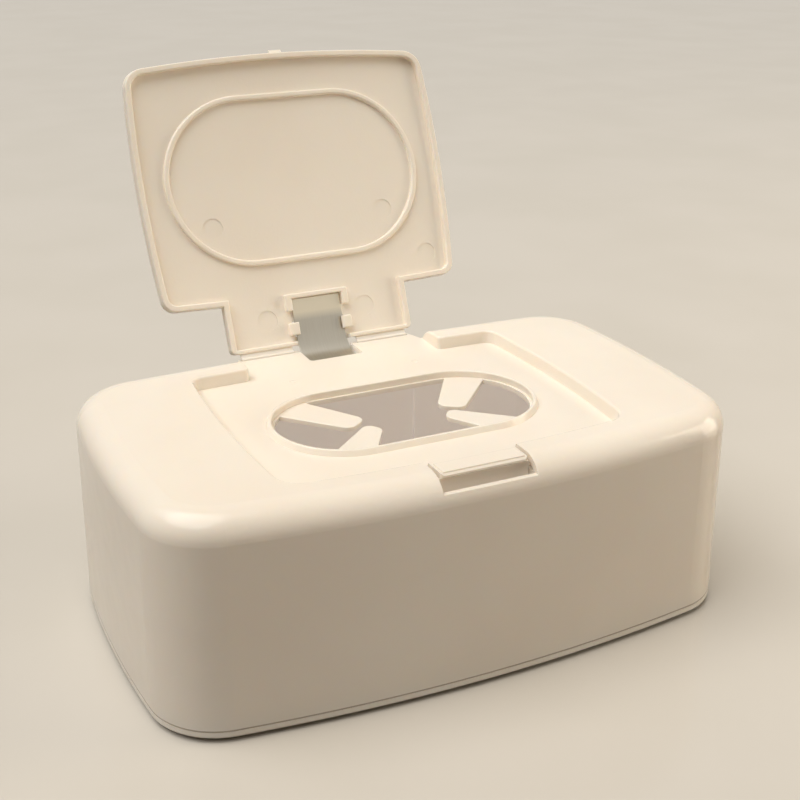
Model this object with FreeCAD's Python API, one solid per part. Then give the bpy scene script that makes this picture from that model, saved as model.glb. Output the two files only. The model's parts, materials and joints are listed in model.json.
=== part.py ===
import FreeCAD, Part
import math
import os

# Wipes dispenser: flip-top tub that lifts off a flat base, shown with its lid open.
# Axes: X along the long side, -Y to the latch, +Y to the hinge, +Z up, feet on z = 0. Sizes in mm.
# It is built about the middle of the tub, then moved so that the origin lies under the middle
# of the whole object with the lid open.

V = FreeCAD.Vector

# Tub outline at the lower rim of the base
tubLength = 190.0
tubDepth = 116.1
tubCorner = 21.6
frontBow = 529.0
rearBow = 1292.0
endBow = 387.0
draft = 0.0106
wall = 2.0
topFillet = 8.2
endX = tubLength / 2
frontY = -tubDepth / 2
rearY = tubDepth / 2

# Heights
footGap = 1.6
rimHeight = 2.0
seamGap = 0.15
topZ = 68.33
recessDepth = 4.33
floorPlate = 2.0
recessFloorZ = topZ - recessDepth
panFloor = recessFloorZ - floorPlate

# Lid recess in the top face, set in from the tub's sides
frontLand = 14.25
rearLand = 14.25
endLand = 38.5
recessFrontY = frontY + frontLand
recessRearY = rearY - rearLand
recessHalf = endX - endLand
recessEndBow = 400.0
recessFrontBow = 500.0
recessRearCorner = 4.0
recessFrontCorner = 7.5
recessSideDraft = 0.35
recessFrontDraft = 1.9
recessEdgeRound = 0.7

# Hinge shelf, notch and fold line
notchHalf = 34.3
notchEdgeRound = 1.6
shelfOverhang = 4.35
shelfPlate = 2.2
shelfSideGap = 0.3
shelfRearTaper = 2.4
shelfRearY = rearY + shelfOverhang
foldInset = 0.9
foldRise = 0.1
foldY = shelfRearY - foldInset
foldZ = recessFloorZ + foldRise
beadRadius = 0.6
seatClearance = 0.05
webThickness = 1.0
webTopW = 1.1
openAngle = 113.2
gussetSpacing = 15.0
gussetHalf = 0.8
gussetDrop = 14.0

# Lid, measured on its rim when shut
lidRearGap = 0.6
lidFrontGap = 2.6
lidEndGap = 0.9
lidRearY = recessRearY - lidRearGap
lidFrontY = recessFrontY + lidFrontGap
lidHalf = recessHalf - lidEndGap
lidEndBow = 400.0
lidRearCorner = 4.6
lidFrontCorner = 6.8
lidHeight = topZ - foldZ
lidPlate = 1.6
rimWidth = 2.0
rimRound = 0.45
lidSideDraft = 0.25
lidFrontDraft = 0.5
lidTopRound = 0.8
tongueSideGap = 0.7
tongueHalf = notchHalf - tongueSideGap
tongueEndV = 16.2
tongueRimWidth = 1.4
tongueCorner = 1.8
webOuter = tongueHalf - 3.0
ejectorRadius = 3.5
ejectorDepth = 0.2

# Leaf spring and its seats
stripWidth = 18.0
stripThickness = 0.4
pocketHalf = stripWidth / 2 + 2.6
pocketBar = 1.6
pocketLeg = 2.4
pocketRound = 0.6
pocketLegTop = -0.8
pocketLegEnd = 4.2
pocketCrestW = 0.4
hookTop = 8.3
hookBottom = 12.6
hookOuter = stripWidth / 2 + 2.5
hookReach = stripWidth / 2 - 1.0
hookUnderW = 1.5
hookCrestW = 0.2
slotHalf = stripWidth / 2 + 0.65
slotFrontY = rearY - 6.65
slotCorner = 1.2
springGapHalf = stripWidth / 2 + 0.8
webInner = slotHalf + 2.35
clipDepth = 2.4
clipFrontY = recessRearY - 0.8

# Dispensing opening, collar and fingers
openHalfLength = 42.1
openHalfWidth = 21.8
openCentreY = -1.2
collarRise = 1.8
collarRim = 1.0
collarFoot = 1.1
collarRound = 0.4
collarTopZ = recessFloorZ + collarRise
fingerDrop = 0.5
fingerPlate = 1.4
fingerLedge = 0.8
rearTipRound = 3.2
frontTipRound = 2.6
fingerRound = 0.3
fingerTopZ = recessFloorZ - fingerDrop
cutLead = 5.0
cutRun = 10.0

# Seal rib inside the lid, which goes round the collar
sealHalfLength = openHalfLength + 4.2
sealHalfWidth = openHalfWidth + 7.4
sealCentreY = openCentreY + 2.5
sealThickness = 1.9
sealCrestW = 1.2
sealRound = 0.6
tabWidth = 4.4
tabReach = 1.15

# Latch window and button
windowHalf = 14.8
windowRun = 4.0
wellFrontWall = 3.3
wellRun = 1.75
wellDrop = 4.0
windowSillZ = recessFloorZ - 0.1
buttonSideGap = 1.2
buttonHalf = windowHalf - buttonSideGap
buttonPlate = 1.8
buttonSink = 0.18
buttonTopZ = topZ - buttonSink
buttonRearY = recessFrontY - 0.4
buttonLipY = frontY + 5.45
buttonSkirtY = buttonLipY + 1.1
buttonSkirtBottomZ = recessFloorZ - 2.4
skirtThickness = 1.2
skirtSideGap = 0.35
lipCorner = 1.3
ridgeRise = 0.45
pivotY = recessFrontY - 1.6
pivotZ = recessFloorZ - 3.6
pivotRadius = 1.5
pivotClearance = 0.06
cheekThickness = 1.8
noseTipY = lidFrontY - 0.65
noseBottomZ = recessFloorZ + 2.15
noseHeight = 0.9
noseHalf = 3.0
coilRadius = 1.7
coilWire = 0.45
coilTurns = 6
coilY = recessFrontY - 4.4
trayTopZ = recessFloorZ - 9.0
trayPlate = 1.6
trayHalfDepth = 3.4
pegRadius = coilRadius - coilWire / 2 - 0.2

# Base plate and feet
basePlate = 2.3
baseRound = 0.6
plugGap = 0.25
plugWall = 1.8
plugHeight = 9.0
floorRibHalf = 0.8
floorRibRise = 1.6
floorRibPitchX = 48.0
floorRibPitchY = 52.0
footRadius = 6.0
footSeat = 0.8
footRound = 0.5
footX = endX - 19.0
footY = rearY - 17.05

# Small marks on the recess floor and inside the rear wall
pipRadius = 1.3
pipRise = 0.35
pipX = 22.0
pipY = recessRearY - 7.3
innerRibX = 31.7
innerRibHalf = 0.7
innerRibDepth = 1.6
innerRibFootZ = 14.0


# Arc on a circle about centre, from the direction of start to that of end, the short way
def arcThrough(centre, radius, start, end, z):
    a = math.atan2(start[1] - centre[1], start[0] - centre[0])
    b = math.atan2(end[1] - centre[1], end[0] - centre[0])
    while b - a > math.pi:
        b -= 2 * math.pi
    while a - b > math.pi:
        b += 2 * math.pi
    points = []
    for t in (a, (a + b) / 2, b):
        points.append(V(centre[0] + radius * math.cos(t), centre[1] + radius * math.sin(t), z))
    return Part.Arc(*points).toShape()


# Meeting point of two circles that lies nearest to towards
def circleMeet(c1, r1, c2, r2, towards):
    dx = c2[0] - c1[0]
    dy = c2[1] - c1[1]
    d = math.hypot(dx, dy)
    along = (r1 * r1 - r2 * r2 + d * d) / (2 * d)
    across = math.sqrt(max(r1 * r1 - along * along, 0.0))
    found = []
    for s in (1, -1):
        x = c1[0] + (along * dx - s * across * dy) / d
        y = c1[1] + (along * dy + s * across * dx) / d
        found.append((math.hypot(x - towards[0], y - towards[1]), (x, y)))
    return min(found)[1]


# Closed outline of four bowed sides and four tangent corners, drawn in by inset
def bowedWire(half, front, rear, bows, corners, z, inset=0.0):
    bowF, bowR, bowE = bows
    cornerF, cornerR = corners
    midY = (front + rear) / 2
    centreF = (0.0, front + bowF)
    centreR = (0.0, rear - bowR)
    centreRight = (half - bowE, midY)
    centreLeft = (bowE - half, midY)
    sides = [(centreF, bowF, centreRight, bowE, cornerF, (half, front)),
             (centreRight, bowE, centreR, bowR, cornerR, (half, rear)),
             (centreR, bowR, centreLeft, bowE, cornerR, (-half, rear)),
             (centreLeft, bowE, centreF, bowF, cornerF, (-half, front))]
    plan = []
    for cA, rA, cB, rB, r, near in sides:
        c = circleMeet(cA, rA - r, cB, rB - r, near)
        ends = []
        for cS, rS in ((cA, rA), (cB, rB)):
            d = math.hypot(c[0] - cS[0], c[1] - cS[1])
            f = (rS - inset) / d
            ends.append((cS[0] + (c[0] - cS[0]) * f, cS[1] + (c[1] - cS[1]) * f))
        plan.append((c, r - inset, ends[0], ends[1], cB, rB - inset))
    edges = []
    for i in range(4):
        c, r, start, end, nextCentre, nextRadius = plan[i]
        following = plan[(i + 1) % 4]
        edges.append(arcThrough(c, r, start, end, z))
        edges.append(arcThrough(nextCentre, nextRadius, end, following[2], z))
    return Part.Wire(edges)


def stadiumWire(halfLength, halfWidth, centreY, z):
    s = halfLength - halfWidth
    lowY = centreY - halfWidth
    highY = centreY + halfWidth
    lowSide = Part.makeLine(V(-s, lowY, z), V(s, lowY, z))
    rightEnd = Part.Arc(V(s, lowY, z), V(halfLength, centreY, z), V(s, highY, z))
    highSide = Part.makeLine(V(s, highY, z), V(-s, highY, z))
    leftEnd = Part.Arc(V(-s, highY, z), V(-halfLength, centreY, z), V(-s, lowY, z))
    return Part.Wire([lowSide, rightEnd.toShape(), highSide, leftEnd.toShape()])


def loft(lower, upper):
    return Part.makeLoft([lower, upper], True, True)


def stadium(halfLength, halfWidth, centreY, z, height, flare=0.0):
    lower = stadiumWire(halfLength + flare, halfWidth + flare, centreY, z)
    return loft(lower, stadiumWire(halfLength, halfWidth, centreY, z + height))


def box(x0, x1, y0, y1, z0, z1):
    return Part.makeBox(x1 - x0, y1 - y0, z1 - z0, V(x0, y0, z0))


# Solid from a polygon in the plane across axis, from lo to hi along it
def prism(points, axis, lo, hi):
    if axis == "x":
        corners = [V(lo, a, b) for a, b in points]
        step = V(hi - lo, 0, 0)
    elif axis == "y":
        corners = [V(a, lo, b) for a, b in points]
        step = V(0, hi - lo, 0)
    else:
        corners = [V(a, b, lo) for a, b in points]
        step = V(0, 0, hi - lo)
    return Part.Face(Part.makePolygon(corners + [corners[0]])).extrude(step)


def mirrorX(shape):
    return shape.mirror(V(0, 0, 0), V(1, 0, 0))


# Upright edges that stand over the listed plan points
def uprightEdges(shape, spots, tolerance=0.6):
    found = []
    for e in shape.Edges:
        if len(e.Vertexes) != 2:
            continue
        p = e.Vertexes[0].Point
        q = e.Vertexes[1].Point
        if abs(p.z - q.z) < 0.8:
            continue
        middle = V((p.x + q.x) / 2, (p.y + q.y) / 2, 0)
        if any((middle - V(x, y, 0)).Length < tolerance for x, y in spots):
            found.append(e)
    return found


def edgesAtHeight(shape, z):
    found = []
    for e in shape.Edges:
        if abs(e.BoundBox.ZMin - z) < 0.01 and abs(e.BoundBox.ZMax - z) < 0.01:
            found.append(e)
    return found


# Tub outline at height z, with the draft of the walls
def tubWire(z, inset=0.0):
    drawn = inset + draft * (z - footGap)
    bows = (frontBow, rearBow, endBow)
    return bowedWire(endX, frontY, rearY, bows, (tubCorner, tubCorner), z, drawn)


# Recess outline; the walls lean out towards the top, most of all at the latch side
def recessWire(z, grow=0.0):
    t = (topZ - z) / (topZ - recessFloorZ)
    half = recessHalf - recessSideDraft * t + grow
    rear = recessRearY - recessSideDraft * t + grow
    front = recessFrontY + recessFrontDraft * t - grow
    bows = (recessFrontBow, rearBow, recessEndBow)
    return bowedWire(half, front, rear, bows, (recessFrontCorner + grow, recessRearCorner + grow), z)


# Shut lid's outline at height w above its rim; the walls lean out like the recess
def lidWire(w, inset=0.0):
    t = w / lidHeight
    half = lidHalf + lidSideDraft * t - inset
    rear = lidRearY + lidSideDraft * t - inset
    front = lidFrontY - lidFrontDraft * t + inset
    bows = (recessFrontBow, rearBow, lidEndBow)
    corners = (lidFrontCorner - inset * 0.8, lidRearCorner - inset * 0.8)
    return bowedWire(half, front, rear, bows, corners, foldZ + w)


# Open position in the Y-Z plane of a point at depth y and height w on the shut lid
def onLid(y, w):
    t = math.radians(-openAngle)
    dy = y - foldY
    return V(0, foldY + dy * math.cos(t) - w * math.sin(t), foldZ + dy * math.sin(t) + w * math.cos(t))


# Housing: drafted shell with a rolled top edge, open below
shellFoot = footGap + rimHeight + seamGap
outer = loft(tubWire(shellFoot), tubWire(topZ))
outer = outer.makeFillet(topFillet, edgesAtHeight(outer, topZ))
hollowTop = topZ - wall
hollow = loft(tubWire(shellFoot - 1, wall), tubWire(hollowTop, wall))
hollow = hollow.makeFillet(topFillet - wall, edgesAtHeight(hollow, hollowTop))
pan = loft(recessWire(panFloor, wall), recessWire(topZ, wall))
notchPan = box(-notchHalf - wall, notchHalf + wall, recessRearY - 3, rearY, panFloor, topZ)
hollow = hollow.cut(pan).cut(notchPan)
recess = loft(recessWire(recessFloorZ), recessWire(topZ + 1))
notch = box(-notchHalf, notchHalf, recessRearY - 3, shelfRearY + 4, recessFloorZ, topZ + 1)

# Hinge shelf: flat ledge behind the rear wall, carried on gussets
shelfHalfRoot = notchHalf - shelfSideGap
shelfHalfRear = shelfHalfRoot - shelfRearTaper
shelfRootY = rearY - 2.5
shelfPlan = [(-shelfHalfRoot, recessRearY + 8), (shelfHalfRoot, recessRearY + 8),
             (shelfHalfRoot, shelfRootY), (shelfHalfRear, shelfRearY),
             (-shelfHalfRear, shelfRearY), (-shelfHalfRoot, shelfRootY)]
shelf = prism(shelfPlan, "z", recessFloorZ - shelfPlate, recessFloorZ)
gussetFootZ = recessFloorZ - gussetDrop
gussetHeadZ = recessFloorZ - shelfPlate + 0.1
gussetRootY = rearY - 2.2
gussetPlan = [(gussetRootY, gussetFootZ), (rearY - 0.4, gussetFootZ),
              (shelfRearY - 0.8, gussetHeadZ), (gussetRootY, gussetHeadZ)]
gussets = []
for place in (-2, -1, 1, 2):
    x = place * gussetSpacing
    gussets.append(prism(gussetPlan, "x", x - gussetHalf, x + gussetHalf))
housing = outer.cut(hollow).fuse([shelf] + gussets)
housing = housing.cut(recess).cut(notch)

# Half-round seat for the fold bead along the shelf's rear edge
seatHalf = webOuter + 0.5
seatRadius = beadRadius + seatClearance
seat = Part.makeCylinder(seatRadius, 2 * seatHalf, V(-seatHalf, foldY, foldZ), V(1, 0, 0))
housing = housing.cut(seat)

# Dispensing opening with a raised, round-topped collar
collarRootZ = recessFloorZ - 0.5
collar = stadium(openHalfLength + collarRim, openHalfWidth + collarRim, openCentreY, collarRootZ,
                 collarTopZ - collarRootZ, collarFoot)
throat = stadium(openHalfLength, openHalfWidth, openCentreY, fingerTopZ, cutRun)
through = stadium(openHalfLength - fingerLedge, openHalfWidth - fingerLedge, openCentreY,
                  panFloor - cutLead, cutRun)
housing = housing.fuse(collar).cut(throat).cut(through)
housing = housing.makeFillet(collarRound, edgesAtHeight(housing, collarTopZ))

# Four slender fingers lean in from the edge of the opening; the middle two points of each are its tip
openFrontY = openCentreY - openHalfWidth
openRearY = openCentreY + openHalfWidth
rearFinger = [(openHalfLength - 15.3, openRearY + 2.8), (openHalfLength - 29.9, openCentreY + 2.0),
              (openHalfLength - 22.9, openCentreY - 3.2), (openHalfLength - 3.7, openRearY - 4.1)]
frontFinger = [(openHalfLength - 22.3, openFrontY - 0.5), (openHalfLength - 31.5, openCentreY - 7.0),
               (openHalfLength - 28.2, openCentreY - 1.9), (openHalfLength - 8.1, openFrontY + 2.3)]
fingers = []
for plan, tipRound in ((rearFinger, rearTipRound), (frontFinger, frontTipRound)):
    finger = prism(plan, "z", fingerTopZ - fingerPlate, fingerTopZ)
    finger = finger.makeFillet(tipRound, uprightEdges(finger, [plan[1], plan[2]]))
    finger = finger.makeFillet(fingerRound, edgesAtHeight(finger, fingerTopZ))
    fingers.append(finger)
    fingers.append(mirrorX(finger))
fingerLimit = stadium(openHalfLength + 0.3, openHalfWidth + 0.3, openCentreY, fingerTopZ - cutLead, cutRun)
housing = housing.fuse([f.common(fingerLimit) for f in fingers])

# Slot in the shelf that lets the leaf spring down, and the clip under the floor that holds its foot
slot = box(-slotHalf, slotHalf, slotFrontY, shelfRearY + 1, panFloor - 3, topZ)
slot = slot.makeFillet(slotCorner, uprightEdges(slot, [(-slotHalf, slotFrontY), (slotHalf, slotFrontY)]))
housing = housing.cut(slot)
railIn = stripWidth / 2 - 1.6
railWall = stripWidth / 2 + 0.2
railOut = stripWidth / 2 + 2.0
railTopZ = panFloor + 0.1
railFootZ = panFloor - clipDepth
railLedgeZ = railFootZ + 1.1
rail = [(railWall, railTopZ), (railOut, railTopZ), (railOut, railFootZ),
        (railIn, railFootZ), (railIn, railLedgeZ), (railWall, railLedgeZ)]
railRight = prism(rail, "y", clipFrontY, slotFrontY - 0.6)
clipStop = box(-railOut, railOut, clipFrontY - 1.4, clipFrontY, railFootZ, railTopZ)
housing = housing.fuse([railRight, mirrorX(railRight), clipStop])

# Latch window with its two pivot cheeks and the spring tray
window = box(-windowHalf, windowHalf, frontY - 2, recessFrontY + windowRun, windowSillZ, topZ + 1)
floorGuard = box(-windowHalf - 1, windowHalf + 1, recessFrontY - 0.05, recessFrontY + windowRun + 1,
                 windowSillZ - 1, recessFloorZ)
well = box(-windowHalf, windowHalf, frontY + wellFrontWall, recessFrontY + wellRun, panFloor - wellDrop,
           recessFloorZ)
housing = housing.cut(window.cut(floorGuard)).cut(well)
trayFootZ = trayTopZ - trayPlate
cheekPlan = [(frontY + 2.2, windowSillZ + 0.4), (recessFrontY + 1.4, panFloor + 0.4),
             (recessFrontY + 1.4, pivotZ - 3.2), (coilY + trayHalfDepth, trayFootZ),
             (coilY - trayHalfDepth, trayFootZ), (frontY + 3.0, windowSillZ - 4)]
cheekOuter = windowHalf + cheekThickness
cheek = prism(cheekPlan, "x", windowHalf, cheekOuter)
holeHalf = cheekOuter + 10.0
holeRadius = pivotRadius + pivotClearance
pivotHole = Part.makeCylinder(holeRadius, 2 * holeHalf, V(-holeHalf, pivotY, pivotZ), V(1, 0, 0))
trayHalf = windowHalf + 0.5
tray = box(-trayHalf, trayHalf, coilY - trayHalfDepth, coilY + trayHalfDepth, trayFootZ, trayTopZ)
trayPeg = Part.makeCylinder(pegRadius, 1.4, V(0, coilY, trayTopZ), V(0, 0, 1))
housing = housing.fuse([cheek, mirrorX(cheek), tray, trayPeg]).cut(pivotHole)

# Two small pips on the recess floor and two stiffening ribs inside the rear wall
pipSphere = (pipRadius * pipRadius + pipRise * pipRise) / (2 * pipRise)
pips = []
for x in (-pipX, pipX):
    ball = Part.makeSphere(pipSphere, V(x, pipY, recessFloorZ + pipRise - pipSphere))
    pips.append(ball.common(box(x - pipRadius, x + pipRadius, pipY - pipRadius, pipY + pipRadius,
                                recessFloorZ - 0.3, recessFloorZ + 1)))
rearInnerY = rearY - wall
innerRibTopZ = panFloor - 3.0
innerRibPlan = [(rearInnerY + 0.9, innerRibFootZ), (rearInnerY + 0.9, innerRibTopZ),
                (rearInnerY - innerRibDepth, innerRibTopZ), (rearInnerY - innerRibDepth, innerRibFootZ + 3.0),
                (rearInnerY - 0.4, innerRibFootZ)]
innerRibs = []
for x in (-innerRibX, innerRibX):
    innerRibs.append(prism(innerRibPlan, "x", x - innerRibHalf, x + innerRibHalf))
housing = housing.fuse(pips + innerRibs)

# Soft edges at the notch mouth and along the top of the recess
notchWallY = recessRearY - recessSideDraft / 2 - notchHalf ** 2 / (2 * rearBow)
notchSpots = [(-notchHalf, notchWallY), (notchHalf, notchWallY)]
housing = housing.makeFillet(notchEdgeRound, uprightEdges(housing, notchSpots, 0.5))
housing = housing.removeSplitter()
recessEdges = []
for e in edgesAtHeight(housing, topZ):
    middle = e.BoundBox.Center
    if abs(middle.x) < recessHalf + 1 and abs(middle.y) < recessRearY + 1:
        recessEdges.append(e)
housing = housing.makeFillet(recessEdgeRound, recessEdges)

# Lid, built shut and then turned back about the fold line
tongueRearY = lidRearY + tongueEndV
lidTopZ = foldZ + lidHeight
plateW = lidHeight - lidPlate
plateZ = foldZ + plateW
body = loft(lidWire(0), lidWire(lidHeight))
tongue = box(-tongueHalf, tongueHalf, lidRearY - 8, tongueRearY, foldZ, lidTopZ)
tongueSpots = [(-tongueHalf, tongueRearY), (tongueHalf, tongueRearY)]
tongue = tongue.makeFillet(tongueCorner, uprightEdges(tongue, tongueSpots))
lidSolid = body.fuse(tongue).removeSplitter()
lidSolid = lidSolid.makeFillet(lidTopRound, edgesAtHeight(lidSolid, lidTopZ))
lidHollow = loft(lidWire(-0.5, rimWidth), lidWire(plateW, rimWidth))
tongueHollow = box(-tongueHalf + rimWidth, tongueHalf - rimWidth, lidRearY - 8,
                   tongueRearY - tongueRimWidth, foldZ - 0.5, plateZ)
lid = lidSolid.cut(lidHollow.fuse(tongueHollow))
lid = lid.makeFillet(rimRound, edgesAtHeight(lid, foldZ))
springGap = box(-springGapHalf, springGapHalf, tongueRearY - 3, tongueRearY + 1, foldZ - 0.5, plateZ)
lid = lid.cut(springGap)

# Sealing rib round the collar, and the latch tab
sealFootZ = foldZ + sealCrestW
sealOuter = stadium(sealHalfLength, sealHalfWidth, sealCentreY, sealFootZ, plateZ - sealFootZ + 0.2)
sealInner = stadium(sealHalfLength - sealThickness, sealHalfWidth - sealThickness, sealCentreY,
                    foldZ, plateW - sealCrestW + 3)
seal = sealOuter.cut(sealInner)
seal = seal.makeFillet(sealRound, edgesAtHeight(seal, sealFootZ))
tabRootY = lidFrontY + 1.0
tabTipY = lidFrontY - tabReach
tabProfile = [(tabRootY, foldZ + 0.4), (lidFrontY - 0.1, foldZ + 0.4), (tabTipY, foldZ + 1.2),
              (tabTipY, foldZ + 1.7), (tabRootY, foldZ + 1.9)]
tab = prism(tabProfile, "x", -tabWidth / 2, tabWidth / 2)
lid = lid.fuse([seal, tab])

# Spring pocket, two strip hooks with their core holes, round ejector marks
pocketY = lidRearY + pocketLegTop
pocketLowZ = foldZ + pocketCrestW
pocketRoofZ = plateZ + 0.2
hookCrestZ = foldZ + hookCrestW
hookFrontY = lidRearY + hookTop
hookRearY = lidRearY + hookBottom
pocketBackY = pocketY - pocketBar / 2
legEndY = lidRearY + pocketLegEnd
bar = box(-pocketHalf, pocketHalf, pocketBackY, pocketBackY + pocketBar, pocketLowZ, pocketRoofZ)
leg = box(pocketHalf - pocketLeg, pocketHalf, pocketBackY, legEndY, pocketLowZ, pocketRoofZ)
pocket = bar.fuse([leg, mirrorX(leg)]).removeSplitter()
pocketCorners = [(x, y) for x in (-pocketHalf, pocketHalf) for y in (pocketBackY, legEndY)]
pocket = pocket.makeFillet(pocketRound, uprightEdges(pocket, pocketCorners, 0.3))
pocket = pocket.makeFillet(rimRound, edgesAtHeight(pocket, pocketLowZ))
hookPost = box(stripWidth / 2 + 0.4, hookOuter, hookFrontY, hookRearY, hookCrestZ, pocketRoofZ)
hookHead = box(hookReach, hookOuter, hookFrontY, hookRearY, hookCrestZ, foldZ + hookUnderW)
hook = hookPost.fuse(hookHead).removeSplitter()
hook = hook.makeFillet(0.7, uprightEdges(hook, [(hookOuter, hookFrontY), (hookOuter, hookRearY)], 0.3))
hook = hook.makeFillet(rimRound, edgesAtHeight(hook, hookCrestZ))
coreHole = box(hookReach - 0.4, stripWidth / 2 + 0.35, hookFrontY - 0.6, hookRearY + 0.6,
               plateZ - 0.5, lidTopZ + 1)
lid = lid.fuse([pocket, hook, mirrorX(hook)]).cut(coreHole.fuse(mirrorX(coreHole)))
ejectorSpots = [(-32.0, -27.1), (31.0, -27.1), (45.3, -9.6), (18.0, 5.7), (-18.4, 6.3)]
for x, behind in ejectorSpots:
    spot = V(x, lidRearY + behind, plateZ - 1.0 + ejectorDepth)
    lid = lid.cut(Part.makeCylinder(ejectorRadius, 1.0, spot, V(0, 0, 1)))

# Fold webs: two flat tabs that end in a round bead on the fold line
webRootY = tongueRearY - 0.8
webPlan = [(webRootY, foldZ + webTopW), (webRootY, foldZ + webTopW + webThickness),
           (foldY - beadRadius * 0.2, foldZ + beadRadius * 0.85),
           (foldY - beadRadius * 0.3, foldZ - beadRadius * 0.1)]
webs = []
for x0, x1 in ((-webOuter, -webInner), (webInner, webOuter)):
    webs.append(prism(webPlan, "x", x0, x1))
    webs.append(Part.makeCylinder(beadRadius, x1 - x0, V(x0, foldY, foldZ), V(1, 0, 0)))
lid = lid.fuse(webs).removeSplitter()
lid.rotate(V(0, foldY, foldZ), V(1, 0, 0), -openAngle)

# Leaf spring: one strip from the lid pocket over the fold line to the clip under the floor
stripHalf = stripThickness / 2
stripW = plateW - 0.05 - stripHalf
clipZ = panFloor - 0.65
upper = onLid(pocketY + pocketBar / 2 + 0.3, stripW)
lowerLid = onLid(hookRearY + 0.6, stripW)
foot = V(0, clipFrontY + 0.5, clipZ)
bend = [lowerLid, V(0, foldY + 0.1, foldZ - 0.9), V(0, foldY - 4.5, panFloor - 0.25),
        V(0, slotFrontY + 0.8, clipZ)]
lidWay = (lowerLid - upper).normalize()
spine = Part.BSplineCurve()
spine.interpolate(bend, InitialTangent=lidWay * 6, FinalTangent=V(0, -5, 0))
above = []
below = []
samples = 24
first = spine.FirstParameter
last = spine.LastParameter
for i in range(samples + 1):
    u = first + (last - first) * i / samples
    p = spine.value(u)
    t = spine.tangent(u)[0]
    side = V(0, -t.z, t.y) * stripHalf
    above.append(p + side)
    below.append(p - side)
aboveCurve = Part.BSplineCurve()
aboveCurve.interpolate(above)
belowCurve = Part.BSplineCurve()
belowCurve.interpolate(below)
upperSide = V(0, -lidWay.z, lidWay.y) * stripHalf
footSide = V(0, 0, -stripHalf)
stripEdges = [Part.makeLine(upper - upperSide, upper + upperSide), Part.makeLine(upper + upperSide, above[0]),
              aboveCurve.toShape(), Part.makeLine(above[-1], foot + footSide),
              Part.makeLine(foot + footSide, foot - footSide), Part.makeLine(foot - footSide, below[-1]),
              belowCurve.toShape(), Part.makeLine(below[0], upper - upperSide)]
stripFace = Part.Face(Part.Wire(Part.__sortEdges__(stripEdges)))
leafSpring = stripFace.extrude(V(stripWidth, 0, 0))
leafSpring.translate(V(-stripWidth / 2, 0, 0))

# Latch button: capped block with an overhanging lip, a nose for the lid tab and two pivot arms
underZ = buttonTopZ - buttonPlate
rearFootY = buttonRearY + 1.6
rearFootZ = recessFloorZ + 0.6
skirtInnerY = buttonSkirtY + skirtThickness
capPlan = [(buttonRearY, buttonTopZ), (buttonLipY + 0.7, buttonTopZ), (buttonLipY, buttonTopZ - 0.5),
           (buttonLipY, buttonTopZ - 1.1), (buttonSkirtY, underZ), (buttonSkirtY, buttonSkirtBottomZ),
           (skirtInnerY, buttonSkirtBottomZ), (skirtInnerY, underZ), (buttonRearY - 1.0, underZ),
           (buttonRearY + 0.4, rearFootZ), (rearFootY, rearFootZ)]
cap = prism(capPlan, "x", -buttonHalf, buttonHalf)
capLimit = box(-buttonHalf, buttonHalf, buttonLipY, rearFootY, buttonSkirtBottomZ, buttonTopZ)
lipSpots = [(-buttonHalf, buttonLipY), (buttonHalf, buttonLipY)]
capLimit = capLimit.makeFillet(lipCorner, uprightEdges(capLimit, lipSpots))
cap = cap.common(capLimit)
skirtHalf = windowHalf - skirtSideGap
skirt = box(-skirtHalf, skirtHalf, buttonSkirtY, skirtInnerY, buttonSkirtBottomZ, underZ)
noseTopZ = noseBottomZ + noseHeight
nosePlan = [(buttonRearY, noseBottomZ), (noseTipY, noseBottomZ), (noseTipY, noseBottomZ + 0.4),
            (noseTipY - 0.5, noseTopZ), (buttonRearY - 0.2, noseTopZ)]
nose = prism(nosePlan, "x", -noseHalf, noseHalf)
ridgeHalf = buttonHalf - 0.7
ridgeTopZ = buttonTopZ + ridgeRise
ridge = box(-ridgeHalf, ridgeHalf, buttonLipY + 0.7, buttonLipY + 6.6, buttonTopZ - 0.1, ridgeTopZ)
ridge = ridge.makeFillet(ridgeRise * 0.8, edgesAtHeight(ridge, ridgeTopZ))
armPlan = [(buttonSkirtY, buttonTopZ - 0.6), (buttonRearY, buttonTopZ - 0.6), (rearFootY, rearFootZ),
           (pivotY + 2.6, pivotZ), (pivotY + 1.4, pivotZ - 2.2), (pivotY - 1.6, pivotZ - 2.2),
           (buttonSkirtY, buttonSkirtBottomZ)]
arm = prism(armPlan, "x", buttonHalf - 1.5, buttonHalf)
pinRootX = buttonHalf - 1.0
pinTipX = cheekOuter - 0.3
pin = Part.makeCylinder(pivotRadius, pinTipX - pinRootX, V(pinRootX, pivotY, pivotZ), V(1, 0, 0))
boss = Part.makeCylinder(pegRadius, 2.4, V(0, coilY, underZ - 2.0), V(0, 0, 1))
button = cap.fuse([skirt, nose, ridge, arm, mirrorX(arm), pin, mirrorX(pin), boss]).removeSplitter()

# Latch spring between the tray and the button
coilFootZ = trayTopZ + coilWire / 2 + 0.02
coilRise = underZ - coilWire / 2 - 0.02 - coilFootZ
helix = Part.makeHelix(coilRise / coilTurns, coilRise, coilRadius)
helix.translate(V(0, coilY, coilFootZ))
section = Part.Wire(Part.Circle(helix.Vertexes[0].Point, V(0, 1, 0), coilWire / 2).toShape())
latchSpring = Part.Wire(helix.Edges).makePipeShell([section], True, True)

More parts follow.
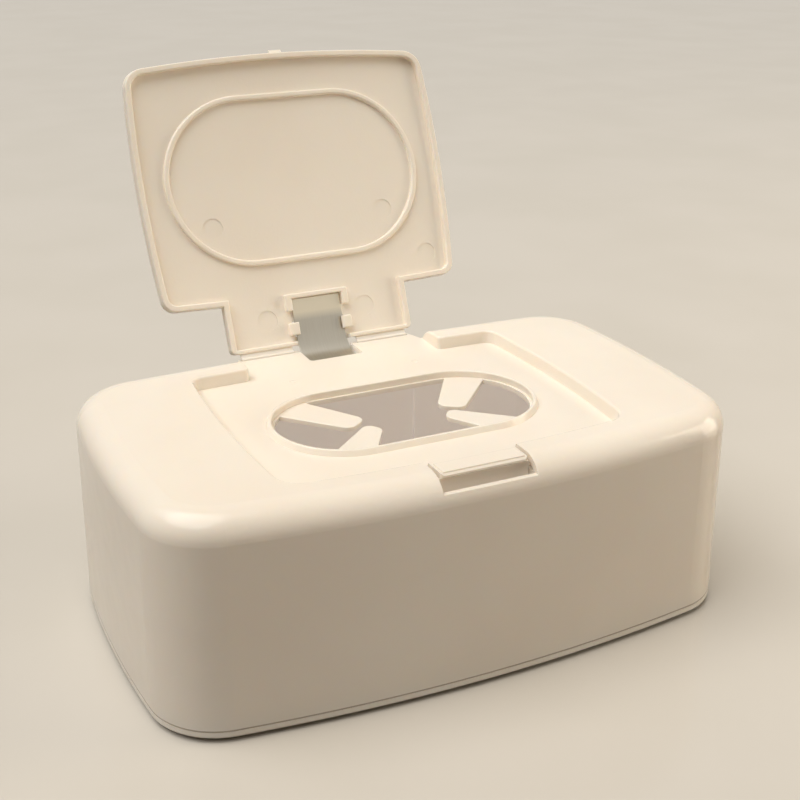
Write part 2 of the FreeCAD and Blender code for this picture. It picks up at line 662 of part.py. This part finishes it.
# Base plate with flush rim, plug wall, floor ribs and foot seats
base = loft(tubWire(footGap), tubWire(footGap + rimHeight))
base = base.makeFillet(baseRound, edgesAtHeight(base, footGap))
plugInset = wall + plugGap
plug = loft(tubWire(footGap + 1.0, plugInset), tubWire(footGap + plugHeight, plugInset + 0.15))
plugHollow = loft(tubWire(footGap + basePlate, plugInset + plugWall),
                  tubWire(footGap + plugHeight + 1, plugInset + plugWall))
base = base.fuse(plug).cut(plugHollow)
ribLowZ = footGap + basePlate - 0.2
ribTopZ = footGap + basePlate + floorRibRise
ribEndX = endX - 11.0
ribEndY = rearY - 10.05
ribs = []
for place in (-1, 0, 1):
    x = place * floorRibPitchX
    ribs.append(box(x - floorRibHalf, x + floorRibHalf, -ribEndY, ribEndY, ribLowZ, ribTopZ))
for y in (-floorRibPitchY / 2, floorRibPitchY / 2):
    ribs.append(box(-ribEndX, ribEndX, y - floorRibHalf, y + floorRibHalf, ribLowZ, ribTopZ))
base = base.fuse(ribs)
footSpots = [(x, y) for x in (-footX, footX) for y in (-footY, footY)]
for x, y in footSpots:
    base = base.cut(Part.makeCylinder(footRadius + 0.05, footSeat, V(x, y, footGap), V(0, 0, 1)))
base = base.removeSplitter()

nodes = {"base_plate": base, "housing": housing, "lid": lid, "leaf_spring": leafSpring,
         "latch_button": button, "latch_spring": latchSpring}
footNames = ("foot_front_left", "foot_rear_left", "foot_front_right", "foot_rear_right")
footHeight = footGap + footSeat - 0.02
for name, (x, y) in zip(footNames, footSpots):
    pad = Part.makeCylinder(footRadius, footHeight, V(x, y, 0), V(0, 0, 1))
    nodes[name] = pad.makeFillet(footRound, edgesAtHeight(pad, 0.0))

# Origin under the middle of the whole object, from the front of the base to the top of the open lid
middleY = (base.optimalBoundingBox().YMin + lid.optimalBoundingBox().YMax) / 2
print("moved forward by", round(middleY, 4))

os.makedirs("parts", exist_ok=True)
for name, shape in nodes.items():
    solids = shape.Solids
    print(name, "solids", len(solids), "valid", shape.isValid(), "volume", round(shape.Volume, 1))
    if len(solids) == 1:
        shape = solids[0]
    shape.translate(V(0, -middleY, 0))
    shape.exportStep("parts/" + name + ".step")
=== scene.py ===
import json
import math

import bmesh
import bpy
from mathutils import Matrix, Vector


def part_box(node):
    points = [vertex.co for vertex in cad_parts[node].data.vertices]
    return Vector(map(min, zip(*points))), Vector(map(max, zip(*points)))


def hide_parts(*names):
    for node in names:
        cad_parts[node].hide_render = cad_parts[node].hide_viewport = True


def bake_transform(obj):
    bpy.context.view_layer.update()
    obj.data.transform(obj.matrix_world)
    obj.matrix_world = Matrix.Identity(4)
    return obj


# Wipes dispenser: glossy warm-white tub with its lid folded open, on a pale table.
# Lengths are in metres unless a name ends in Mm.

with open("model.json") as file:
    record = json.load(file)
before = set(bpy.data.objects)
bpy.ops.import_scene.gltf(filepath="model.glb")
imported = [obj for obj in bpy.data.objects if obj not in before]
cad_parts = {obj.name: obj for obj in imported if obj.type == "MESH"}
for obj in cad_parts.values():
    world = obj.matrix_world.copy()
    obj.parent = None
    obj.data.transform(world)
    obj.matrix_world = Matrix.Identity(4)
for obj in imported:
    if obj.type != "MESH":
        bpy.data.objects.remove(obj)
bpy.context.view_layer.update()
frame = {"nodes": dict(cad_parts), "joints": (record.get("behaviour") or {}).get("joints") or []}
print("frame loaded")

mm = 0.001
baseLow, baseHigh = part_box("base_plate")
tubCentreY = (baseLow.y + baseHigh.y) / 2  # camera and lamps are set out from the tub's middle
joints = {j["name"]: j for j in frame["joints"]}


def atTub(x, y, z):
    return Vector((x, y + tubCentreY, z))


# Camera, fitted to the tub's edges in the photo
cameraSet = {
    "spot": (-0.16752, -0.34583, 0.22985),
    "azimuth": -25.7095,
    "elevation": 22.8789,
    "roll": 0.2802,
    "focalPixels": 1355.77,
    "frameWidth": 800,
    "sensorMm": 36.0,
}


def makeCamera(c):
    az, el, roll = (math.radians(c[k]) for k in ("azimuth", "elevation", "roll"))
    back = Vector((math.sin(az) * math.cos(el), -math.cos(az) * math.cos(el), math.sin(el)))
    right = Vector((math.cos(az), math.sin(az), 0))
    up = back.cross(right)
    tiltRight = right * math.cos(roll) + up * math.sin(roll)
    tiltUp = up * math.cos(roll) - right * math.sin(roll)
    data = bpy.data.cameras.new("camera")
    data.sensor_width = c["sensorMm"]
    data.lens = c["focalPixels"] / c["frameWidth"] * c["sensorMm"]
    data.clip_start = 0.01
    camera = bpy.data.objects.new("camera", data)
    bpy.context.scene.collection.objects.link(camera)
    turn = Matrix((tiltRight, tiltUp, back)).transposed().to_4x4()
    camera.matrix_world = Matrix.Translation(atTub(*c["spot"])) @ turn
    bpy.context.scene.camera = camera


makeCamera(cameraSet)
print("camera placed")


# Colour and node helpers
def fromHex(text):
    def toLinear(v):
        return v / 12.92 if v <= 0.04045 else ((v + 0.055) / 1.055) ** 2.4

    parts = [int(text[i:i + 2], 16) / 255 for i in (1, 3, 5)]
    return (*[toLinear(v) for v in parts], 1.0)


# Adds one node: its properties, its socket values and its incoming links
def addNode(tree, kind, settings=None, inputs=None, links=None):
    node = tree.nodes.new(kind)
    for key, value in (settings or {}).items():
        setattr(node, key, value)
    for key, value in (inputs or {}).items():
        node.inputs[key].default_value = value
    for key, source in (links or {}).items():
        tree.links.new(source, node.inputs[key])
    return node


def newMaterial(name):
    material = bpy.data.materials.new(name)
    material.use_nodes = True
    tree = material.node_tree
    tree.nodes.clear()
    shader = addNode(tree, "ShaderNodeBsdfPrincipled")
    addNode(tree, "ShaderNodeOutputMaterial", links={"Surface": shader.outputs[0]})
    return material, tree, shader


# Noise in object space whose grains measure sizeMm, spread between two values
def grain(tree, place, sizeMm, low, high, detail=2.0):
    noise = addNode(tree, "ShaderNodeTexNoise", inputs={"Scale": 1 / (sizeMm * mm), "Detail": detail},
                    links={"Vector": place})
    spread = addNode(tree, "ShaderNodeMapRange", {"interpolation_type": "SMOOTHSTEP"},
                     {1: 0.25, 2: 0.75, 3: low, 4: high}, {"Value": noise.outputs["Fac"]})
    return spread.outputs[0]


# Polypropylene, injection moulded in a polished tool: milky warm white with a wet-looking gloss,
# a slow ripple in the reflections from the cooling skin and a faint haze where hands hold it
glossMould = {
    "skin": "#F6EDE1",
    "shade": "#F3E9DC",
    "roughLow": 0.12,
    "roughHigh": 0.22,
    "hazeMm": 34.0,
    "rippleMm": 11.0,
    "rippleStrength": 0.035,
    "tintMm": 46.0,
    "ior": 1.49,
    "glow": 0.3,
    "glowDepthMm": 2.5,
}


def polishedPolypropylene(name, m):
    material, tree, shader = newMaterial(name)
    place = addNode(tree, "ShaderNodeTexCoord").outputs["Object"]
    tint = grain(tree, place, m["tintMm"], 0.0, 1.0)
    colour = addNode(tree, "ShaderNodeMix", {"data_type": "RGBA"},
                     {6: fromHex(m["skin"]), 7: fromHex(m["shade"])}, {0: tint})
    tree.links.new(colour.outputs[2], shader.inputs["Base Color"])
    tree.links.new(grain(tree, place, m["hazeMm"], m["roughLow"], m["roughHigh"], 4.0),
                   shader.inputs["Roughness"])
    ripple = grain(tree, place, m["rippleMm"], 0.0, 1.0, 1.0)
    bump = addNode(tree, "ShaderNodeBump", inputs={"Strength": m["rippleStrength"], "Distance": mm},
                   links={"Height": ripple})
    tree.links.new(bump.outputs[0], shader.inputs["Normal"])
    shader.inputs["IOR"].default_value = m["ior"]
    shader.inputs["Subsurface Weight"].default_value = m["glow"]
    shader.inputs["Subsurface Scale"].default_value = m["glowDepthMm"] * mm
    shader.inputs["Subsurface Radius"].default_value = (1.0, 0.75, 0.5)
    return material


# Painted light: the tub's inner faces glow a little by themselves, so the inside seen through the opening shows
# lighter; no lamp is there
paintedInnerGlow = {"colour": "#F0EEF0", "strength": 0.19, "aboveMm": 7.0, "belowMm": 61.9,
              "withinMm": 57.0, "down": -0.5}


def paintInnerGlow(material, s):
    tree = material.node_tree
    shader = next(n for n in tree.nodes if n.type == "BSDF_PRINCIPLED")
    source = next(n for n in tree.nodes if n.type == "TEX_COORD")
    middle = addNode(tree, "ShaderNodeVectorMath", {"operation": "SUBTRACT"},
                     {1: (0, tubCentreY, 0)}, {0: source.outputs["Object"]})
    flat = addNode(tree, "ShaderNodeVectorMath", {"operation": "MULTIPLY"}, {1: (1, 1, 0)},
                   {0: middle.outputs[0]})
    outward = addNode(tree, "ShaderNodeVectorMath", {"operation": "DOT_PRODUCT"},
                      links={0: flat.outputs[0], 1: source.outputs["Normal"]}).outputs["Value"]
    inward = addNode(tree, "ShaderNodeMath", {"operation": "LESS_THAN"}, {1: 0.0}, {0: outward})
    tilt = addNode(tree, "ShaderNodeSeparateXYZ", links={0: source.outputs["Normal"]}).outputs[2]
    under = addNode(tree, "ShaderNodeMath", {"operation": "LESS_THAN"}, {1: s["down"]}, {0: tilt})
    either = addNode(tree, "ShaderNodeMath", {"operation": "MAXIMUM"},
                     links={0: inward.outputs[0], 1: under.outputs[0]})
    height = addNode(tree, "ShaderNodeSeparateXYZ", links={0: source.outputs["Object"]}).outputs[2]
    centre = (s["aboveMm"] + s["belowMm"]) / 2 * mm
    reach = (s["belowMm"] - s["aboveMm"]) / 2 * mm
    level = addNode(tree, "ShaderNodeMath", {"operation": "COMPARE"}, {1: centre, 2: reach}, {0: height})
    depth = addNode(tree, "ShaderNodeSeparateXYZ", links={0: middle.outputs[0]}).outputs[1]
    within = addNode(tree, "ShaderNodeMath", {"operation": "COMPARE"}, {1: 0.0, 2: s["withinMm"] * mm},
                     {0: depth})
    walled = addNode(tree, "ShaderNodeMath", {"operation": "MULTIPLY"},
                     links={0: level.outputs[0], 1: within.outputs[0]})
    inside = addNode(tree, "ShaderNodeMath", {"operation": "MULTIPLY"},
                     links={0: either.outputs[0], 1: walled.outputs[0]})
    strength = addNode(tree, "ShaderNodeMath", {"operation": "MULTIPLY"}, {1: s["strength"]},
                       {0: inside.outputs[0]})
    # emission here is painted light on the tub's inner faces
    tree.links.new(strength.outputs[0], shader.inputs["Emission Strength"])
    shader.inputs["Emission Color"].default_value = fromHex(s["colour"])


# Painted shade at the parting line over the base: the shell's colour darkens at its lowest edge to stand for the
# shade in the joint
paintedSeamShade = {"shade": "#BCAC99", "darkToMm": 0.30, "clearFromMm": 0.45}


def paintSeamShade(material, s):
    tree = material.node_tree
    shader = next(n for n in tree.nodes if n.type == "BSDF_PRINCIPLED")
    place = next(n for n in tree.nodes if n.type == "TEX_COORD").outputs["Object"]
    height = addNode(tree, "ShaderNodeSeparateXYZ", links={0: place}).outputs[2]
    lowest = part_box("housing")[0].z
    clear = addNode(tree, "ShaderNodeMapRange",
                    inputs={1: lowest + s["darkToMm"] * mm, 2: lowest + s["clearFromMm"] * mm},
                    links={"Value": height}).outputs[0]
    skin = shader.inputs["Base Color"].links[0].from_socket
    # painted shade: the shell's colour grows darker towards its lowest edge
    colour = addNode(tree, "ShaderNodeMix", {"data_type": "RGBA"}, {6: fromHex(s["shade"])},
                     {0: clear, 7: skin})
    tree.links.new(colour.outputs[2], shader.inputs["Base Color"])


shellPlastic = polishedPolypropylene("polished_polypropylene_shell", glossMould)
# painted glow on the tub's inner faces
paintInnerGlow(shellPlastic, paintedInnerGlow)
# painted shade along the shell's lowest edge
paintSeamShade(shellPlastic, paintedSeamShade)
buttonPlastic = polishedPolypropylene("polished_polypropylene_button",
                                      {**glossMould, "skin": "#F5EBDE", "roughLow": 0.16, "hazeMm": 9.0})
# The base is a lighter copy of the shell's plastic so that its rim shows brighter under the seam: painted light
basePlasticPaintedLighter = polishedPolypropylene("polished_polypropylene_base",
                                    {**glossMould, "skin": "#FBF1E4", "shade": "#F9EEDF", "roughLow": 0.2})

# Lid, polypropylene from a tool that is polished outside and spark-textured inside: the plate seen
# with the lid open is matt and even, while the rim, the ring and the outside keep a soft gloss
lidFinish = {
    **glossMould,
    "roughLow": 0.29,  # under 0.28 the denoiser draws outlines round the haze
    "roughHigh": 0.36,
    "plateRoughLow": 0.42,
    "plateRoughHigh": 0.5,
    "sparkMm": 0.9,  # real spark grain is about 0.1 mm, drawn coarser so that it shows
    "sparkStrength": 0.10,
    "plateAboveMm": 2.63,  # height of the plate's inside face over the rim of the shut lid
    "edgeMm": 0.12,
}


def lidPolypropylene(name, m):
    material = polishedPolypropylene(name, m)
    tree = material.node_tree
    shader = next(n for n in tree.nodes if n.type == "BSDF_PRINCIPLED")
    place = next(n for n in tree.nodes if n.type == "TEX_COORD").outputs["Object"]
    hinge = joints["lid_hinge"]
    openAngle = math.radians(hinge["range_deg"][1])
    # turned back to the shut position, the height over the fold line tells plate from rim
    fold = Vector(hinge["pos_m"])
    shut = addNode(tree, "ShaderNodeVectorRotate", {"rotation_type": "X_AXIS"},
                   {"Center": fold, "Angle": openAngle}, {"Vector": place})
    height = addNode(tree, "ShaderNodeSeparateXYZ", links={0: shut.outputs[0]}).outputs[2]
    plateZ = fold.z + m["plateAboveMm"] * mm
    near = addNode(tree, "ShaderNodeMath", {"operation": "COMPARE"},
                   {1: plateZ, 2: m["edgeMm"] * mm}, {0: height}).outputs[0]
    matt = grain(tree, place, m["hazeMm"], m["plateRoughLow"], m["plateRoughHigh"], 4.0)
    gloss = shader.inputs["Roughness"].links[0].from_socket
    rough = addNode(tree, "ShaderNodeMix", {"data_type": "FLOAT"}, links={0: near, 2: gloss, 3: matt})
    tree.links.new(rough.outputs[0], shader.inputs["Roughness"])
    spark = grain(tree, place, m["sparkMm"], 0.0, 1.0, 3.0)
    sparkDepth = addNode(tree, "ShaderNodeMath", {"operation": "MULTIPLY"}, links={0: spark, 1: near})
    ripple = shader.inputs["Normal"].links[0].from_socket
    bump = addNode(tree, "ShaderNodeBump", inputs={"Strength": m["sparkStrength"], "Distance": 0.1 * mm},
                   links={"Height": sparkDepth.outputs[0], "Normal": ripple})
    tree.links.new(bump.outputs[0], shader.inputs["Normal"])
    return material


lidPlastic = lidPolypropylene("spark_textured_polypropylene_lid", lidFinish)

# Spring steel strip, cold rolled to a satin finish: soft grey glare with faint rolling lines, and a
# painted reflection that lightens the end in the lid's pocket
rolledStrip = {
    "metal": "#C2BEB4",
    "dark": "#BEB9AE",
    "roughLow": 0.33,
    "roughHigh": 0.36,
    "lineMm": 0.3,  # real rolling lines are about 0.05 mm apart, drawn coarser so that they show
    "lineStretch": 0.04,
    "lineStrength": 0.006,
}
paintedReflectionEnd = {"tint": "#E4DBC7", "fromMm": 8.8, "toMm": 11.4}  # heights over the fold line


def rolledSpringSteel(name, m):
    material, tree, shader = newMaterial(name)
    place = addNode(tree, "ShaderNodeTexCoord").outputs["Object"]
    drawn = addNode(tree, "ShaderNodeMapping", {"vector_type": "POINT"},
                    {"Scale": (1.0, m["lineStretch"], m["lineStretch"])}, {"Vector": place}).outputs[0]
    lines = grain(tree, drawn, m["lineMm"], 0.0, 1.0, 3.0)
    colour = addNode(tree, "ShaderNodeMix", {"data_type": "RGBA"},
                     {6: fromHex(m["metal"]), 7: fromHex(m["dark"])}, {0: lines})
    tree.links.new(colour.outputs[2], shader.inputs["Base Color"])
    rough = addNode(tree, "ShaderNodeMapRange", inputs={3: m["roughLow"], 4: m["roughHigh"]},
                    links={"Value": lines})
    tree.links.new(rough.outputs[0], shader.inputs["Roughness"])
    bump = addNode(tree, "ShaderNodeBump", inputs={"Strength": m["lineStrength"], "Distance": 0.05 * mm},
                   links={"Height": lines})
    tree.links.new(bump.outputs[0], shader.inputs["Normal"])
    shader.inputs["Metallic"].default_value = 1.0
    return material


def paintReflectionEnd(material, s):
    tree = material.node_tree
    shader = next(n for n in tree.nodes if n.type == "BSDF_PRINCIPLED")
    place = next(n for n in tree.nodes if n.type == "TEX_COORD").outputs["Object"]
    height = addNode(tree, "ShaderNodeSeparateXYZ", links={0: place}).outputs[2]
    fold = joints["lid_hinge"]["pos_m"][2]
    paintedGleam = addNode(tree, "ShaderNodeMapRange", inputs={1: fold + s["fromMm"] * mm, 2: fold + s["toMm"] * mm},
                    links={"Value": height}).outputs[0]
    metal = shader.inputs["Base Color"].links[0].from_socket
    # painted reflection: the strip's colour lightens towards its upper end
    colour = addNode(tree, "ShaderNodeMix", {"data_type": "RGBA"}, {7: fromHex(s["tint"])},
                     {0: paintedGleam, 6: metal})
    tree.links.new(colour.outputs[2], shader.inputs["Base Color"])


stripSteel = rolledSpringSteel("satin_rolled_spring_steel", rolledStrip)
# painted reflection on the strip's upper end
paintReflectionEnd(stripSteel, paintedReflectionEnd)

# Spring wire, drawn bright through a die: hard narrow glints along the coil
wireSteel = rolledSpringSteel("bright_drawn_spring_wire",
                              {**rolledStrip, "metal": "#C4C2BD", "dark": "#8F8D89",
                               "roughLow": 0.18, "roughHigh": 0.26, "lineMm": 0.2, "lineStretch": 1.0})

# Thermoplastic rubber, moulded: dull, slightly dusty grey that drinks the light
softFoot = {
    "rubber": "#A8A49D",
    "dust": "#BBB7AF",
    "grainMm": 0.7,
    "roughLow": 0.7,
    "roughHigh": 0.86,
    "grainStrength": 0.25,
}


def mouldedRubber(name, m):
    material, tree, shader = newMaterial(name)
    place = addNode(tree, "ShaderNodeTexCoord").outputs["Object"]
    speckle = grain(tree, place, m["grainMm"], 0.0, 1.0, 4.0)
    colour = addNode(tree, "ShaderNodeMix", {"data_type": "RGBA"},
                     {6: fromHex(m["rubber"]), 7: fromHex(m["dust"])}, {0: speckle})
    tree.links.new(colour.outputs[2], shader.inputs["Base Color"])
    rough = addNode(tree, "ShaderNodeMapRange", inputs={3: m["roughLow"], 4: m["roughHigh"]},
                    links={"Value": speckle})
    tree.links.new(rough.outputs[0], shader.inputs["Roughness"])
    bump = addNode(tree, "ShaderNodeBump", inputs={"Strength": m["grainStrength"], "Distance": 0.1 * mm},
                   links={"Height": speckle})
    tree.links.new(bump.outputs[0], shader.inputs["Normal"])
    return material


footRubber = mouldedRubber("moulded_soft_rubber", softFoot)
print("materials made")

finishes = {"housing": shellPlastic, "lid": lidPlastic, "latch_button": buttonPlastic,
            "base_plate": basePlasticPaintedLighter}
for foot in ("foot_front_left", "foot_rear_left", "foot_front_right", "foot_rear_right"):
    finishes[foot] = footRubber
for node, finish in finishes.items():
    slots = frame["nodes"][node].material_slots
    for slot in slots:
        slot.material = finish


# Turns a list of points in the Y-Z plane into a smooth run, keeping the given points
def smoothRun(points, steps):
    run = []
    for i in range(len(points) - 1):
        before = points[max(i - 1, 0)]
        a, b = points[i], points[i + 1]
        after = points[min(i + 2, len(points) - 1)]
        for k in range(steps):
            t = k / steps
            run.append(0.5 * ((2 * a) + (b - before) * t + (2 * before - 5 * a + 4 * b - after) * t * t
                              + (3 * a - before - 3 * b + after) * t ** 3))
    run.append(points[-1])
    return run


# Leaf spring: a steel strip from the lid's pocket, over the fold line and down to its clip.
# Places are from the fold line in mm: the lid's two in the shut lid's own axes, the others as they stand.
leafStrip = {
    "widthMm": 18.0,
    "thickMm": 0.4,
    "cornerMm": 1.0,
    "edgeMm": 0.08,
    "onLidMm": [(-18.05, 2.38), (-11.5, 2.38), (-5.1, 2.38)],
    "standingMm": [(0.1, -0.9), (-4.5, -2.35), (-9.3, -2.75), (-18.0, -2.75)],
    "steps": 10,
    "bendFromMm": (-4.2, -2.3),
    "bendToMm": (3.6, 2.9),
}


def makeLeafStrip(s):
    fold = Vector(joints["lid_hinge"]["pos_m"])
    openAngle = math.radians(joints["lid_hinge"]["range_deg"][1])
    turn = Matrix.Rotation(-openAngle, 3, "X")
    places = [turn @ Vector((0, y, z)) for y, z in s["onLidMm"]]
    places += [Vector((0, y, z)) for y, z in s["standingMm"]]
    run = [fold + p * mm for p in smoothRun(places, s["steps"])]
    half, thick, corner = s["widthMm"] / 2 * mm, s["thickMm"] / 2 * mm, s["cornerMm"] * mm
    lengths = [0.0]
    for a, b in zip(run, run[1:]):
        lengths.append(lengths[-1] + (b - a).length)
    mesh = bmesh.new()
    rows = []
    for i, p in enumerate(run):
        along = (run[min(i + 1, len(run) - 1)] - run[max(i - 1, 0)]).normalized()
        side = Vector((0, -along.z, along.y)) * thick
        toEnd = min(lengths[i], lengths[-1] - lengths[i])
        cut = corner - math.sqrt(max(corner ** 2 - max(corner - toEnd, 0) ** 2, 0))
        x = half - cut
        rows.append([mesh.verts.new(p + Vector((sx * x, 0, 0)) + side * st)
                     for sx, st in ((-1, -1), (1, -1), (1, 1), (-1, 1))])
    for a, b in zip(rows, rows[1:]):
        for k in range(4):
            mesh.faces.new((a[k], a[(k + 1) % 4], b[(k + 1) % 4], b[k]))
    mesh.faces.new(rows[0][::-1])
    mesh.faces.new(rows[-1])
    bmesh.ops.recalc_face_normals(mesh, faces=mesh.faces)
    data = bpy.data.meshes.new("leaf_strip")
    mesh.to_mesh(data)
    mesh.free()
    strip = bpy.data.objects.new("leaf_strip", data)
    bpy.context.scene.collection.objects.link(strip)
    data.materials.append(stripSteel)
    for face in data.polygons:
        face.use_smooth = True
    bevel = strip.modifiers.new("rolled_edge", "BEVEL")
    bevel.width = s["edgeMm"] * mm
    bevel.segments = 2
    bevel.limit_method = "ANGLE"
    bevel.harden_normals = True
    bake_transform(strip)
    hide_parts("leaf_spring")


makeLeafStrip(leafStrip)
print("leaf spring made")

# Latch coil: closed and ground ends, open turns between. Its foot stays in the housing's tray.
latchCoil = {
    "radiusMm": 1.7,
    "wireMm": 0.45,
    "turns": 7.5,
    "endTurns": 0.9,
    "around": 20,
    "wireSides": 10,
}


def makeLatchCoil(s):
    low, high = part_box("latch_spring")
    centre = (low + high) / 2
    wire = s["wireMm"] / 2 * mm
    bottom, top = low.z + wire, high.z - wire
    mesh = bmesh.new()
    rings = []
    count = int(s["turns"] * s["around"])
    closed = s["endTurns"] / s["turns"]
    for i in range(count + 1):
        t = i / count
        lift = min(max((t - closed) / (1 - 2 * closed), 0), 1)
        layer = (min(t, closed) + max(t - 1 + closed, 0)) / closed * wire * 2
        z = bottom + layer + lift * (top - bottom - 4 * wire)
        angle = t * s["turns"] * 2 * math.pi
        out = Vector((math.cos(angle), math.sin(angle), 0))
        hub = Vector((centre.x, centre.y, z)) + out * s["radiusMm"] * mm
        ring = []
        for k in range(s["wireSides"]):
            a = 2 * math.pi * k / s["wireSides"]
            ring.append(mesh.verts.new(hub + (out * math.cos(a) + Vector((0, 0, math.sin(a)))) * wire))
        rings.append(ring)
    for a, b in zip(rings, rings[1:]):
        for k in range(s["wireSides"]):
            j = (k + 1) % s["wireSides"]
            mesh.faces.new((a[k], b[k], b[j], a[j]))
    mesh.faces.new(rings[0])
    mesh.faces.new(rings[-1][::-1])
    bmesh.ops.recalc_face_normals(mesh, faces=mesh.faces)
    data = bpy.data.meshes.new("latch_coil")
    mesh.to_mesh(data)
    mesh.free()
    for face in data.polygons:
        face.use_smooth = True
    coil = bpy.data.objects.new("latch_coil", data)
    bpy.context.scene.collection.objects.link(coil)
    data.materials.append(wireSteel)
    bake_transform(coil)
    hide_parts("latch_spring")


makeLatchCoil(latchCoil)
print("latch coil made")

# Table: pale lacquered board, faintly glossy so that it carries a soft reflection of the tub.
# It throws back less light than it shows, as the dark table in the photo does.
table = {
    "board": "#D2CDC5",
    "boardShade": "#CEC9C0",
    "bounce": "#574E43",
    "size": 14.0,
    "rough": 0.16,
    "mottleMm": 90.0,
    "backdrop": "#D2CDC5",
}


# 1 for rays that come from the camera, a mirror reflection or through something clear, else 0
def seenRay(tree):
    path = addNode(tree, "ShaderNodeLightPath")
    seen = path.outputs["Is Camera Ray"]
    for ray in ("Is Glossy Ray", "Is Transmission Ray"):
        seen = addNode(tree, "ShaderNodeMath", {"operation": "MAXIMUM"},
                       links={0: seen, 1: path.outputs[ray]}).outputs[0]
    return seen


def makeTable(s):
    data = bpy.data.meshes.new("table")
    h = s["size"] / 2
    data.from_pydata([(-h, -h, 0), (h, -h, 0), (h, h, 0), (-h, h, 0)], [], [(0, 1, 2, 3)])
    board = bpy.data.objects.new("table", data)
    bpy.context.scene.collection.objects.link(board)
    material, tree, shader = newMaterial("pale_lacquered_board")
    place = addNode(tree, "ShaderNodeTexCoord").outputs["Object"]
    mottle = addNode(tree, "ShaderNodeMix", {"data_type": "RGBA"},
                     {6: fromHex(s["board"]), 7: fromHex(s["boardShade"])},
                     {0: grain(tree, place, s["mottleMm"], 0.0, 1.0)})
    colour = addNode(tree, "ShaderNodeMix", {"data_type": "RGBA"}, {6: fromHex(s["bounce"])},
                     {0: seenRay(tree), 7: mottle.outputs[2]})
    tree.links.new(colour.outputs[2], shader.inputs["Base Color"])
    shader.inputs["Roughness"].default_value = s["rough"]
    data.materials.append(material)


makeTable(table)

# Lamps: soft daylight from the upper left, a faint low light from behind that no glossy surface
# mirrors, a softbox that draws the highlights along the rolled edges, a card far on the right that
# lifts the front's right end, and an even dim room
sunLamps = [
    {"name": "daylight", "from": (-0.38, -0.08, 0.92), "spread": 60.0, "strength": 2.6,
     "colour": "#FFFBF4", "mirrored": True},
    {"name": "rear_fill", "from": (0.22, 1.00, 0.18), "spread": 40.0, "strength": 0.5,
     "colour": "#FFF6E8", "mirrored": False},
]
areaLamps = [
    {"name": "softbox", "spot": (-0.75, 0.35, 1.20), "size": 1.0, "watts": 3.5, "colour": "#FFFCF7"},
    {"name": "card", "spot": (1.10, -0.40, 0.36), "size": 0.7, "watts": 7.0, "colour": "#FFF1DC"},
]
room = {"light": "#FFE9CC", "strength": 0.09}
lampAim = atTub(0, 0, 0.05)


def makeLamp(lamp, kind, spot):
    light = bpy.data.lights.new(lamp["name"], kind)
    light.color = fromHex(lamp["colour"])[:3]
    holder = bpy.data.objects.new(lamp["name"], light)
    bpy.context.scene.collection.objects.link(holder)
    holder.location = spot
    holder.rotation_mode = "QUATERNION"
    holder.rotation_quaternion = (lampAim - holder.location).to_track_quat("-Z", "Y")
    return holder


for lamp in sunLamps:
    sun = makeLamp(lamp, "SUN", lampAim + Vector(lamp["from"]))
    sun.data.angle = math.radians(lamp["spread"])
    sun.data.energy = lamp["strength"]
    sun.visible_glossy = lamp["mirrored"]
for lamp in areaLamps:
    area = makeLamp(lamp, "AREA", atTub(*lamp["spot"]))
    area.data.size = lamp["size"]
    area.data.energy = lamp["watts"]


def makeRoom(r, backdrop):
    world = bpy.data.worlds.new("room")
    bpy.context.scene.world = world
    world.use_nodes = True
    tree = world.node_tree
    tree.nodes.clear()
    dim = addNode(tree, "ShaderNodeBackground", inputs={"Color": fromHex(r["light"]), "Strength": r["strength"]})
    pale = addNode(tree, "ShaderNodeBackground", inputs={"Color": fromHex(backdrop), "Strength": 1.0})
    mix = addNode(tree, "ShaderNodeMixShader", links={0: seenRay(tree), 1: dim.outputs[0], 2: pale.outputs[0]})
    addNode(tree, "ShaderNodeOutputWorld", links={"Surface": mix.outputs[0]})


makeRoom(room, table["backdrop"])
bpy.context.scene.view_settings.view_transform = "Standard"
print("table, lamps and room set")
